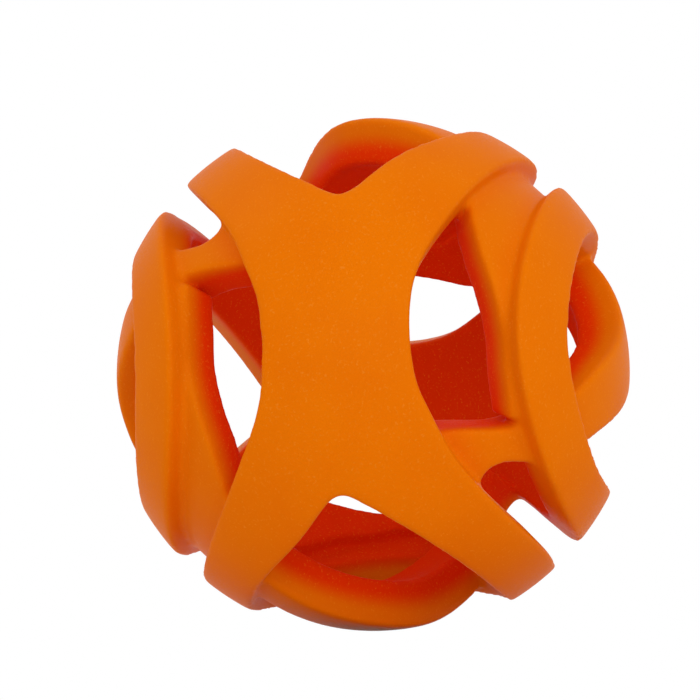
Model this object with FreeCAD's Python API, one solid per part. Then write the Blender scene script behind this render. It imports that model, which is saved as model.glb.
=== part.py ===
import FreeCAD, Part
import math
import os

# Openwork fetch ball: one rubber moulding, written as its named members.
# Row frame: the ball's centre is the origin, the front cross faces -Y, the top window faces +Z.
# Two equal frames lie crosswise like the two panels of a tennis ball. Each is a cross with two
# hoops. Four sunk loops cross the hoops' windows and tie the two frames together.
# Outlines are drawn on a plane that touches the unit sphere and are thrown from the centre, so
# every side wall points at the centre of the ball. Their numbers are parts of the ball's radius.

# ---------------------------------------------------------------- driving dimensions
ball_radius = 32.0
wall = 0.155 * ball_radius
cross_reach = 0.72 * ball_radius

# a hoop's window, seen from outside: tip towards its cross, round end towards its hoop
window_tip = 1.555
window_round_end = 0.79
window_half_width = 0.545
window_lean = 0.02

# a hoop's outer edge
hoop_outer_reach = 1.28
hoop_outer_half_width = 0.88

# the gap beside a cross, seen from the next hoop's window: its reach, and its height as a share
# of the height at which a hoop's outer edge meets the arms
gap_waist = 3.68
gap_upper_edge = [(3.45, 0.53), (3.00, 0.77), (2.40, 0.91), (1.75, 1.005), (1.10, 1.045), (0.45, 1.03)]
gap_lower_edge = [(3.38, -0.52), (2.90, -0.72), (2.25, -0.92), (1.62, -0.98), (0.95, -0.98), (0.45, -0.97)]

# a loop's line through its window, from the bar's foot to the blade's root
loop_line = [(-1.16, -2.42), (-0.76, -1.40), (-0.53, -0.85), (-0.185, -0.34), (0.03, 0.00), (0.31, 0.22),
             (0.58, 0.43)]
loop_half_width = 0.128
loop_middle_swell = 0.02

# one side of a bar's foot curves out to meet the arm; it takes the place of the bar's straight edge
foot_fillet = [(-1.17, -1.37), (-1.07, -1.36), (-0.97, -1.32), (-0.88, -1.25)]
loop_sunk = 0.033 * ball_radius
loop_thickness = 0.178 * ball_radius
loop_centre_rise = 0.11 * ball_radius

# a blade, seen from the edge between two windows: root under the arm, tip on the next hoop
blade_outline = [(0.0, 0.26), (0.47, 0.28), (0.80, 0.15), (1.04, 0.00), (1.25, -0.20), (1.41, -0.42),
                 (1.57, -0.64), (1.83, -0.97), (2.26, -1.45), (2.72, -2.09), (3.30, -2.93), (2.65, -2.62),
                 (1.49, -1.0), (0.89, -0.43), (0.49, -0.25), (0.0, -0.2)]
blade_sunk = 0.07 * ball_radius
blade_thickness = 0.14 * ball_radius

# ---------------------------------------------------------------- directions and turns
centre = FreeCAD.Vector(0, 0, 0)
right = FreeCAD.Vector(1, 0, 0)
front = FreeCAD.Vector(0, -1, 0)
up = FreeCAD.Vector(0, 0, 1)
edge_axis = FreeCAD.Vector(1, 0, 1).normalize()
edge_side = FreeCAD.Vector(-1, 0, 1).normalize()


def turned(shape, axis):
    """A copy of the shape after half a turn about an axis through the centre."""
    copy = shape.copy()
    copy.rotate(centre, axis, 180)
    return copy


def half_turn(shape):
    """The member's twin on the same frame: half a turn about the front axis."""
    return turned(shape, front)


def other_frame(shape):
    """The member's twin on the other frame: half a turn about the edge axis."""
    return turned(shape, edge_axis)


# ---------------------------------------------------------------- outlines thrown from the centre
def on_plane(outward, across, along, point, scale):
    """A point of an outline, on the plane square to outward at the given share of the radius."""
    place = outward + across * point[0] + along * point[1]
    return place * (ball_radius * scale)


def thrown(wire_maker):
    """The solid between an outline near the centre and the same outline outside the ball."""
    near = wire_maker(0.02)
    far = wire_maker(1.15)
    return Part.makeLoft([near, far], True, True)


def window_wire(scale):
    """The outline of the top hoop's window at one share of the radius."""
    wide = window_half_width
    lean = window_lean
    points = [
        (-lean, window_tip),
        (-0.44 * wide - lean, 0.77 * window_tip),
        (-0.83 * wide - lean, 0.43 * window_tip),
        (-wide, 0.0),
        (-0.82 * wide, -0.60 * window_round_end),
        (0.0, -window_round_end),
        (0.82 * wide, -0.60 * window_round_end),
        (wide, 0.0),
        (0.83 * wide - lean, 0.43 * window_tip),
        (0.44 * wide - lean, 0.77 * window_tip),
    ]
    curve = Part.BSplineCurve()
    curve.interpolate([on_plane(up, right, front, p, scale) for p in points], PeriodicFlag=True)
    return Part.Wire([curve.toShape()])


def hoop_outer_wire(scale):
    """The ellipse at the outer edge of the top hoop at one share of the radius."""
    middle = on_plane(up, right, front, (0, 0), scale)
    reach = on_plane(up, right, front, (0, -hoop_outer_reach), scale)
    side = on_plane(up, right, front, (hoop_outer_half_width, 0), scale)
    return Part.Wire([Part.Ellipse(reach, side, middle).toShape()])


def gap_wire(scale):
    """The gap beside the front cross, seen from the right."""
    tall = 1.0 / hoop_outer_half_width
    edge = [(0.0, 1.0)] + gap_upper_edge[::-1] + [(gap_waist, 0.0)] + gap_lower_edge + [(0.0, -1.0)]
    points = [on_plane(right, front, up, (reach, share * tall), scale) for reach, share in edge]
    curve = Part.BSplineCurve()
    curve.interpolate(points)
    return Part.Wire([curve.toShape(), Part.makeLine(points[-1], points[0])])


def ribbon_edge(side):
    """The points of one edge of the top loop's ribbon."""
    points = []
    last = len(loop_line) - 1
    for i, point in enumerate(loop_line):
        before = loop_line[max(i - 1, 0)]
        after = loop_line[min(i + 1, last)]
        run = (after[0] - before[0], after[1] - before[1])
        length = math.hypot(run[0], run[1])
        swell = loop_middle_swell * max(0.0, 1.0 - math.hypot(point[0], point[1]))
        offset = side * (loop_half_width + swell) / length
        points.append((point[0] + run[1] * offset, point[1] - run[0] * offset))
    if side < 0:
        points = foot_fillet + points[2:]
    return points


def ribbon_wire(scale):
    """The outline of the top loop's ribbon at one share of the radius."""
    ends = []
    edges = []
    for side in (1, -1):
        points = [on_plane(up, right, front, p, scale) for p in ribbon_edge(side)]
        curve = Part.BSplineCurve()
        curve.interpolate(points)
        edges.append(curve.toShape())
        ends.append(points)
    edges.append(Part.makeLine(ends[0][0], ends[1][0]))
    edges.append(Part.makeLine(ends[0][-1], ends[1][-1]))
    return Part.Wire(Part.__sortEdges__(edges))


def blade_wire(scale):
    """The outline of the top loop's blade at one share of the radius."""
    points = [on_plane(edge_axis, front, edge_side, p, scale) for p in blade_outline]
    return Part.makePolygon(points + [points[0]])


# ---------------------------------------------------------------- the members
def half_space(direction):
    """A box that covers everything on one side of the centre."""
    size = 3 * ball_radius
    box = Part.makeBox(2 * size, 2 * size, size, FreeCAD.Vector(-size, -size, 0))
    box.Placement = FreeCAD.Placement(centre, FreeCAD.Rotation(up, direction))
    return box


def make_members():
    """One of each kind of member, none of them overlapping another."""
    ball = Part.makeSphere(ball_radius)
    shell = ball.cut(Part.makeSphere(ball_radius - wall))
    front_shell = shell.common(half_space(front))
    back_shell = shell.common(half_space(-front))

    # the frame: a cross and four arms in front, a hoop behind at each end
    window = thrown(window_wire)
    gap = thrown(gap_wire)
    frame_front = front_shell.cut([window, half_turn(window), gap, half_turn(gap)])
    size = 3 * ball_radius
    middle_slab = Part.makeBox(2 * size, 2 * size, 2 * cross_reach,
                               FreeCAD.Vector(-size, -size, -cross_reach))
    cross = frame_front.common(middle_slab)
    arms = frame_front.cut(middle_slab).Solids
    arm_right = [s for s in arms if s.CenterOfMass.x > 0 and s.CenterOfMass.z > 0][0]
    arm_left = [s for s in arms if s.CenterOfMass.x < 0 and s.CenterOfMass.z > 0][0]
    hoop = back_shell.common(thrown(hoop_outer_wire)).cut(window)
    frame = [cross, arm_right, arm_left, half_turn(arm_right), half_turn(arm_left), hoop, half_turn(hoop)]
    frames = frame + [other_frame(member) for member in frame]

    # the loop lies lower than the frames, in a shell of its own
    loop_middle = up * loop_centre_rise
    loop_radius = ball_radius - loop_sunk - loop_centre_rise
    sunk = Part.makeSphere(loop_radius, loop_middle)
    sunk = sunk.cut(Part.makeSphere(loop_radius - loop_thickness, loop_middle))
    blade_radius = ball_radius - blade_sunk
    blade_shell = Part.makeSphere(blade_radius).cut(Part.makeSphere(blade_radius - blade_thickness))
    blade = thrown(blade_wire).common(blade_shell).cut(frames)
    loop = thrown(ribbon_wire).common(sunk).cut(frames + [blade, other_frame(blade)])
    return cross, arm_right, arm_left, hoop, blade, loop


def save(name, shape):
    """Write one member to its own file."""
    print(name, len(shape.Solids), "solid", round(shape.Volume / 1000, 3), "cm3", shape.isValid())
    shape.exportStep("parts/" + name + ".step")


os.makedirs("parts", exist_ok=True)
cross, arm_right, arm_left, hoop, blade, loop = make_members()
save("front_cross", cross)
save("front_arm_upper_right", arm_right)
save("front_arm_lower_left", half_turn(arm_right))
save("front_arm_upper_left", arm_left)
save("front_arm_lower_right", half_turn(arm_left))
save("back_cross", other_frame(cross))
save("back_arm_upper_right", other_frame(arm_right))
save("back_arm_lower_left", other_frame(half_turn(arm_right)))
save("back_arm_lower_right", other_frame(arm_left))
save("back_arm_upper_left", other_frame(half_turn(arm_left)))
for kind, shape in (("hoop", hoop), ("loop", loop), ("blade", blade)):
    save("top_" + kind, shape)
    save("bottom_" + kind, half_turn(shape))
    save("right_" + kind, other_frame(shape))
    save("left_" + kind, half_turn(other_frame(shape)))
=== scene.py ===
import logging
from dataclasses import dataclass, field
from enum import Enum

import bmesh
import bpy
from mathutils import Matrix, Vector


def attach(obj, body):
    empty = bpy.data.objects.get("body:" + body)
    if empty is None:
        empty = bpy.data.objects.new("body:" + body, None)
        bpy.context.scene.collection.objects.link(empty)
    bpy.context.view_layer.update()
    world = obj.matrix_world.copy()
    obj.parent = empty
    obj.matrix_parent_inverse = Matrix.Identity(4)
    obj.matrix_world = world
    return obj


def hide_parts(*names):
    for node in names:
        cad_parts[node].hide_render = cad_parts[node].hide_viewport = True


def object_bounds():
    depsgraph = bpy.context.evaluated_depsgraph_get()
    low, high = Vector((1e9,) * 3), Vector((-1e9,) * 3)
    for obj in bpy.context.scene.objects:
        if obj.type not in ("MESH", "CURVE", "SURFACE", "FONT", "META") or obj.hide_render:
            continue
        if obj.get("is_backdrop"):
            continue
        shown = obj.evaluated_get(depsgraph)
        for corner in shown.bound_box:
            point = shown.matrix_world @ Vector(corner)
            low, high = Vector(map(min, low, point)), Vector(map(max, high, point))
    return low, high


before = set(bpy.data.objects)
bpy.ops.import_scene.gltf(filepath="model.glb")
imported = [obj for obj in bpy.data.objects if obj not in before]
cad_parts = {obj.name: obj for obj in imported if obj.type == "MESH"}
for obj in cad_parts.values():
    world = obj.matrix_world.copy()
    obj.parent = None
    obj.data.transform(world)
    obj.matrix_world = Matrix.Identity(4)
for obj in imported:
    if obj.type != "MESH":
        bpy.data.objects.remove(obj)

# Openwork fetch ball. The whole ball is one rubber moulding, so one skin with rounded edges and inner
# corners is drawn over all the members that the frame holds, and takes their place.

log = logging.getLogger("fetch_ball")

BALL_RADIUS = 0.032

Colour = tuple[float, float, float, float]
Place = tuple[float, float, float]
Span = tuple[float, float]
Socket = bpy.types.NodeSocket

WHITE: Colour = (1.0, 1.0, 1.0, 1.0)
WHOLE_SPAN: Span = (0.0, 1.0)


class Softness(Enum):
    """How far a light's edge spreads, as the side of its lamp in metres."""

    BROAD = 0.60
    MEDIUM = 0.35


@dataclass(frozen=True)
class Noise:
    """A cloudy pattern that is fixed to the piece, with its scale per metre."""

    scale: float
    detail: float
    roughness: float


@dataclass(frozen=True)
class Relief:
    """How deep a pattern stands in the surface, in metres, and how strongly it shows."""

    depth: float
    strength: float


class NodeTree:
    """A short way to place and join the nodes of one material or world."""

    def __init__(self, tree: bpy.types.NodeTree) -> None:
        """Start from an empty tree.

        Args:
            tree: the node tree of a material or of the world.
        """
        self.tree = tree
        self.tree.nodes.clear()

    def add(self, kind: str, **settings: object) -> bpy.types.Node:
        """Place a node.

        Args:
            kind: the node's type, without the prefix ShaderNode.
            settings: attributes of the node, by name.

        Returns:
            The new node.
        """
        node = self.tree.nodes.new("ShaderNode" + kind)
        for name, value in settings.items():
            setattr(node, name, value)
        return node

    def put(self, node: bpy.types.Node, **values: object) -> None:
        """Write constants on a node's sockets.

        Args:
            node: the node to set.
            values: a value for each socket, named in lower case with underscores.
        """
        by_name = {}
        for socket in node.inputs:
            if socket.enabled:
                by_name.setdefault(socket.name.lower().replace(" ", "_"), socket)
        for name, value in values.items():
            by_name[name].default_value = value

    def join(self, source: Socket, target: Socket) -> None:
        """Join two sockets."""
        self.tree.links.new(source, target)

    def combine(self, operation: str, first: Socket, second: Socket) -> Socket:
        """Combine two numbers.

        Args:
            operation: what a Math node does with them.
            first: the first number.
            second: the second number.

        Returns:
            The socket that carries the result.
        """
        node = self.add("Math", operation=operation)
        self.join(first, node.inputs[0])
        self.join(second, node.inputs[1])
        return node.outputs[0]

    def distance(self, place: Socket) -> Socket:
        """Measure how far a place is from the origin.

        Args:
            place: the socket that carries the place.

        Returns:
            The socket that carries the distance.
        """
        node = self.add("VectorMath", operation="LENGTH")
        self.join(place, node.inputs[0])
        return node.outputs["Value"]

    def noise(self, place: Socket, pattern: Noise) -> Socket:
        """Lay a cloudy pattern on a piece.

        Args:
            place: the socket that carries the place on the piece.
            pattern: the pattern.

        Returns:
            The socket that carries the pattern's height.
        """
        node = self.add("TexNoise")
        self.put(node, scale=pattern.scale, detail=pattern.detail, roughness=pattern.roughness)
        self.join(place, node.inputs["Vector"])
        return node.outputs["Fac"]

    def spread(
        self, value: Socket, taken: Span, given: Span = WHOLE_SPAN, eased: bool = False
    ) -> Socket:
        """Spread a number from one span to another, and hold it inside that.

        Args:
            value: the number.
            taken: the span that it comes from.
            given: the span that it goes to.
            eased: whether it slows towards both ends.

        Returns:
            The socket that carries the result.
        """
        node = self.add("MapRange", interpolation_type="SMOOTHSTEP" if eased else "LINEAR")
        self.put(node, from_min=taken[0], from_max=taken[1], to_min=given[0], to_max=given[1])
        self.join(value, node.inputs["Value"])
        return node.outputs["Result"]

    def blend_colours(self, share: Socket, first: Colour | Socket, second: Colour | Socket) -> Socket:
        """Blend two colours.

        Args:
            share: the second colour's share.
            first: the first colour, or the socket that carries it.
            second: the second colour, or the socket that carries it.

        Returns:
            The socket that carries the blend.
        """
        node = self.add("Mix", data_type="RGBA")
        self.join(share, node.inputs["Factor"])
        targets = [socket for socket in node.inputs if socket.type == "RGBA"]
        for target, colour in zip(targets, (first, second)):
            if isinstance(colour, bpy.types.NodeSocket):
                self.join(colour, target)
            else:
                target.default_value = colour
        return [socket for socket in node.outputs if socket.type == "RGBA"][0]

    def blend_shaders(self, share: Socket, first: Socket, second: Socket) -> Socket:
        """Blend two shaders.

        Args:
            share: the second shader's share.
            first: the first shader.
            second: the second shader.

        Returns:
            The socket that carries the blend.
        """
        node = self.add("MixShader")
        for source, target in zip((share, first, second), node.inputs):
            self.join(source, target)
        return node.outputs[0]


@dataclass(frozen=True)
class RubberFinish:
    """Satin orange rubber with a fine grain, as it comes out of the mould, with painted shade deep
    inside the ball and painted glints.
    """

    name: str = "orange moulded rubber"
    colour: Colour = (0.845, 0.182, 0.0, 1.0)
    shaded_colour: Colour = (0.825, 0.166, 0.0, 1.0)
    # painted shade and painted red bounce light for the faces inside the ball
    painted_shade_colour: Colour = (0.860, 0.042, 0.0, 1.0)
    # painted glints: light specks on the grain that stand in for the lamps' sparkle
    painted_glint_colour: Colour = (0.960, 0.340, 0.040, 1.0)
    mottle: Noise = Noise(scale=90.0, detail=3.0, roughness=0.55)
    mottle_span: Span = (0.30, 0.62)
    grain: Noise = Noise(scale=3400.0, detail=2.0, roughness=0.6)
    # the distances from the middle, in metres, over which the painted shade fades out towards the outer
    # faces
    painted_shade_span: Span = (0.0266, 0.0294)
    painted_glint_span: Span = (0.58, 0.74)
    painted_glint_share: float = 0.28
    gloss_span: Span = (0.35, 0.65)
    roughness_span: Span = (0.32, 0.50)
    wave: Relief = Relief(depth=0.00010, strength=0.5)
    pits: Relief = Relief(depth=0.000030, strength=0.9)
    refraction: float = 1.45
    specular_level: float = 0.02

    def colouring(self, tree: NodeTree, place: Socket, mottle: Socket, grain: Socket) -> Socket:
        """Colour the rubber, mottled outside, a deeper red inside as painted shade and painted red
        bounce light, and painted glints as light specks all over.

        Args:
            tree: the tree to place the nodes in.
            place: the place on the piece.
            mottle: the height of the mottle.
            grain: the height of the grain.

        Returns:
            The socket that carries the colour.
        """
        mottled = tree.spread(mottle, self.mottle_span)
        outer = tree.blend_colours(mottled, self.shaded_colour, self.colour)

        # painted shade and painted red bounce light: inside the ball each face lies in shade and is lit
        # by its red neighbours, which a deeper, darker red stands in for
        outwards = tree.spread(tree.distance(place), self.painted_shade_span, eased=True)
        body = tree.blend_colours(outwards, self.painted_shade_colour, outer)

        # painted glints: lighter specks at the grain's peaks stand in for the sparkle of the lamps on
        # the rubber
        painted_glints = tree.spread(grain, self.painted_glint_span, (0.0, self.painted_glint_share))
        return tree.blend_colours(painted_glints, body, self.painted_glint_colour)

    def relief(self, tree: NodeTree, mottle: Socket, grain: Socket) -> Socket:
        """Give the surface a slow wave, with the fine pits of the grain on it.

        Args:
            tree: the tree to place the nodes in.
            mottle: the height of the mottle.
            grain: the height of the grain.

        Returns:
            The socket that carries the surface's direction.
        """
        wave = tree.add("Bump")
        tree.put(wave, strength=self.wave.strength, distance=self.wave.depth)
        tree.join(mottle, wave.inputs["Height"])
        pits = tree.add("Bump")
        tree.put(pits, strength=self.pits.strength, distance=self.pits.depth)
        tree.join(grain, pits.inputs["Height"])
        tree.join(wave.outputs["Normal"], pits.inputs["Normal"])
        return pits.outputs["Normal"]

    def build(self) -> bpy.types.Material:
        """Make the material.

        Returns:
            The new material.
        """
        material = bpy.data.materials.new(self.name)
        material.use_nodes = True
        tree = NodeTree(material.node_tree)
        place = tree.add("TexCoord").outputs["Object"]
        mottle = tree.noise(place, self.mottle)
        grain = tree.noise(place, self.grain)

        skin = tree.add("BsdfPrincipled")
        tree.put(skin, ior=self.refraction, specular_ior_level=self.specular_level)
        tree.join(self.colouring(tree, place, mottle, grain), skin.inputs["Base Color"])
        tree.join(tree.spread(grain, self.gloss_span, self.roughness_span), skin.inputs["Roughness"])
        tree.join(self.relief(tree, mottle, grain), skin.inputs["Normal"])
        tree.join(skin.outputs["BSDF"], tree.add("OutputMaterial").inputs["Surface"])
        return material


@dataclass
class Moulding:
    """The ball's one rubber piece: every member of the frame under one rounded skin."""

    nodes: dict[str, bpy.types.Object]
    finish: RubberFinish = field(default_factory=RubberFinish)
    name: str = "rubber_moulding"
    weld_distance: float = 1e-6
    grid: float = 0.00026
    grid_offset: Place = (0.37, 0.43, 0.31)
    rounding_passes: int = 24
    rounding_share: float = 0.5
    most_triangles: int = 190_000

    def joined(self) -> bpy.types.Object:
        """Copy the members into one new object.

        Returns:
            The object, with the members' faces still apart.
        """
        body = bmesh.new()
        for node in self.nodes.values():
            body.from_mesh(node.data)
        bmesh.ops.remove_doubles(body, verts=body.verts, dist=self.weld_distance)
        mesh = bpy.data.meshes.new(self.name)
        body.to_mesh(mesh)
        body.free()
        piece = bpy.data.objects.new(self.name, mesh)
        bpy.context.scene.collection.objects.link(piece)
        return piece

    def fuse(self, piece: bpy.types.Object) -> None:
        """Turn the object into one skin on an even grid.

        The faces where members meet lie in planes through the grid's own points, so the object stands
        a part of a cell aside while the grid is laid over it.

        Args:
            piece: the object to change.
        """
        aside = Vector(self.grid_offset) * self.grid
        piece.data.transform(Matrix.Translation(aside))
        step = piece.modifiers.new("one skin", "REMESH")
        step.mode = "VOXEL"
        step.voxel_size = self.grid
        step.adaptivity = 0.0
        self.settle(piece)
        piece.data.transform(Matrix.Translation(-aside))

    def drop_bubbles(self, skin: bmesh.types.BMesh) -> None:
        """Take out the tiny closed bubbles that the grid leaves in the rubber where members meet.

        Args:
            skin: the mesh to change, whose largest shell stays.
        """
        for vert in skin.verts:
            vert.tag = False
        shells = []
        for start in skin.verts:
            if start.tag:
                continue
            start.tag = True
            shell = [start]
            for vert in shell:
                for near in (edge.other_vert(vert) for edge in vert.link_edges):
                    if not near.tag:
                        near.tag = True
                        shell.append(near)
            shells.append(shell)
        shells.sort(key=len)
        bubbles = [vert for shell in shells[:-1] for vert in shell]
        log.info("%s: %d shells, %d points of bubbles taken out", self.name, len(shells), len(bubbles))
        bmesh.ops.delete(skin, geom=bubbles, context="VERTS")

    def round_edges(self, piece: bpy.types.Object) -> None:
        """Round the edges and inner corners as a mould does.

        Args:
            piece: the object to change.
        """
        skin = bmesh.new()
        skin.from_mesh(piece.data)
        self.drop_bubbles(skin)
        for _ in range(self.rounding_passes):
            bmesh.ops.smooth_vert(
                skin, verts=skin.verts, factor=self.rounding_share, use_axis_x=True, use_axis_y=True,
                use_axis_z=True,
            )
        bmesh.ops.recalc_face_normals(skin, faces=skin.faces)
        for face in skin.faces:
            face.smooth = True
        skin.to_mesh(piece.data)
        skin.free()

    def thin_out(self, piece: bpy.types.Object) -> None:
        """Bring the mesh down to the number of triangles that it may have.

        Args:
            piece: the object to change, whose faces have four corners each.
        """
        triangles = 2 * len(piece.data.polygons)
        step = piece.modifiers.new("fewer triangles", "DECIMATE")
        step.ratio = min(1.0, self.most_triangles / triangles)
        self.settle(piece)

    def settle(self, piece: bpy.types.Object) -> None:
        """Write what the object's modifiers make into its mesh, and take them off.

        Args:
            piece: the object to change.
        """
        bpy.context.view_layer.update()
        shaped = piece.evaluated_get(bpy.context.evaluated_depsgraph_get())
        mesh = bpy.data.meshes.new_from_object(shaped)
        piece.modifiers.clear()
        piece.data = mesh

    def build(self) -> bpy.types.Object:
        """Make the moulding and put it on the frame.

        Returns:
            The finished object.
        """
        piece = self.joined()
        self.fuse(piece)
        self.round_edges(piece)
        self.thin_out(piece)
        piece.data.materials.clear()
        piece.data.materials.append(self.finish.build())
        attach(piece, "root")
        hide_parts(*self.nodes)
        return piece


@dataclass(frozen=True)
class Lamp:
    """A square lamp that points at the ball, with its place in metres and its power in watts."""

    name: str
    place: Place
    softness: Softness
    power: float

    def build(self) -> None:
        """Hang the lamp."""
        light = bpy.data.lights.new(self.name, "AREA")
        light.energy = self.power
        light.size = self.softness.value
        lamp = bpy.data.objects.new(self.name, light)
        lamp.location = Vector(self.place)
        lamp.rotation_euler = (-lamp.location).to_track_quat("-Z", "Y").to_euler()
        bpy.context.scene.collection.objects.link(lamp)


@dataclass
class Studio:
    """A pale floor, a white surround and soft lamps."""

    floor_height: float
    floor_side: float = 6.0
    floor_colour: Colour = (0.92, 0.92, 0.92, 1.0)
    surround_level: float = 0.69
    shadow_share: float = 0.12
    shadow_span: Span = (0.12, 0.36)
    lamps: tuple[Lamp, ...] = (
        Lamp("key", (-0.55, -0.14, 0.80), Softness.MEDIUM, 0.8),
        Lamp("fill", (0.70, -0.60, 0.30), Softness.BROAD, 1.3),
        Lamp("low", (0.12, -0.85, 0.04), Softness.BROAD, 1.8),
    )

    def white_rays(self, tree: NodeTree) -> Socket:
        """One where the white surround shows, straight, in gloss or through glass, and zero elsewhere.

        Args:
            tree: the tree to place the nodes in.

        Returns:
            The socket that carries the result.
        """
        rays = tree.add("LightPath").outputs
        straight = tree.combine("MAXIMUM", rays["Is Camera Ray"], rays["Is Glossy Ray"])
        return tree.combine("MAXIMUM", straight, rays["Is Transmission Ray"])

    def surround(self) -> None:
        """Light the scene evenly from a white surround."""
        world = bpy.data.worlds.new("white surround")
        world.use_nodes = True
        bpy.context.scene.world = world
        tree = NodeTree(world.node_tree)
        level = tree.spread(self.white_rays(tree), WHOLE_SPAN, (self.surround_level, 1.0))
        white = tree.add("Background")
        tree.put(white, color=WHITE)
        tree.join(level, white.inputs["Strength"])
        tree.join(white.outputs[0], tree.add("OutputWorld").inputs["Surface"])

    def floor_finish(self) -> bpy.types.Material:
        """Make the floor's material: pale under the ball, where its shadow lies, and white further out.

        Returns:
            The new material.
        """
        material = bpy.data.materials.new("white floor")
        material.use_nodes = True
        tree = NodeTree(material.node_tree)
        paint = tree.add("BsdfDiffuse")
        tree.put(paint, color=self.floor_colour)
        glow = tree.add("Emission")
        tree.put(glow, color=WHITE, strength=1.0)
        outwards = tree.distance(tree.add("TexCoord").outputs["Object"])
        fade = tree.spread(outwards, self.shadow_span, (1.0 - self.shadow_share, 1.0))
        share = tree.combine("MULTIPLY", self.white_rays(tree), fade)
        top = tree.blend_shaders(share, paint.outputs[0], glow.outputs[0])

        # the floor has one side only, so that a low camera isn't shut off by its underside
        straight = tree.add("LightPath").outputs["Is Camera Ray"]
        underside = tree.add("NewGeometry").outputs["Backfacing"]
        below = tree.combine("MULTIPLY", straight, underside)
        whole = tree.blend_shaders(below, top, tree.add("BsdfTransparent").outputs[0])
        tree.join(whole, tree.add("OutputMaterial").inputs["Surface"])
        return material

    def floor(self) -> None:
        """Lay the floor that the ball rests on."""
        body = bmesh.new()
        bmesh.ops.create_grid(body, x_segments=1, y_segments=1, size=self.floor_side / 2)
        bmesh.ops.translate(body, verts=body.verts, vec=(0.0, 0.0, self.floor_height))
        mesh = bpy.data.meshes.new("floor")
        body.to_mesh(mesh)
        body.free()
        floor = bpy.data.objects.new("floor", mesh)
        bpy.context.scene.collection.objects.link(floor)
        mesh.materials.append(self.floor_finish())
        floor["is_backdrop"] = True

    def build(self) -> None:
        """Set the surround, the floor and the lamps."""
        self.surround()
        self.floor()
        for lamp in self.lamps:
            lamp.build()


@dataclass(frozen=True)
class Viewpoint:
    """The photograph's camera, close in front of the ball, a little right of it and below its middle.

    The ball's front axis and the lean of its upright axis are given as the camera sees them, and its
    middle and radius in pixels of a square image.
    """

    front_in_view: Place = (-0.1374, 0.1282, 1.0)
    roll: float = -0.0528
    distance: float = 10.0 * BALL_RADIUS
    image_side: float = 700.0
    image_middle: tuple[float, float] = (372.9, 374.0)
    image_radius: float = 264.7
    sensor: float = 36.0
    nearest: float = 0.01

    def build(self) -> None:
        """Place the camera and make it the scene's own."""
        ahead = Vector(self.front_in_view).normalized()
        above = Vector((self.roll, 1.0, 0.0))
        above = (above - ahead * above.dot(ahead)).normalized()
        aside = above.cross(ahead)
        turn = Matrix((aside, -ahead, above)).to_4x4()
        data = bpy.data.cameras.new("photograph")
        data.sensor_width = self.sensor
        data.lens = self.image_radius * self.distance / BALL_RADIUS / self.image_side * self.sensor
        data.shift_x = (self.image_side / 2 - self.image_middle[0]) / self.image_side
        data.shift_y = (self.image_middle[1] - self.image_side / 2) / self.image_side
        data.clip_start = self.nearest
        camera = bpy.data.objects.new("photograph", data)
        camera.matrix_world = turn @ Matrix.Translation((0.0, 0.0, self.distance))
        bpy.context.scene.collection.objects.link(camera)
        bpy.context.scene.camera = camera


def main() -> None:
    """Build the ball and its studio."""
    cad_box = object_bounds()
    piece = Moulding(nodes=dict(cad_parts)).build()
    log.info("%s: %d faces", piece.name, len(piece.data.polygons))
    Studio(floor_height=cad_box[0][2]).build()
    Viewpoint().build()
    bpy.context.scene.view_settings.view_transform = "Standard"


if __name__ == "__main__":
    logging.basicConfig(level=logging.INFO)
    main()
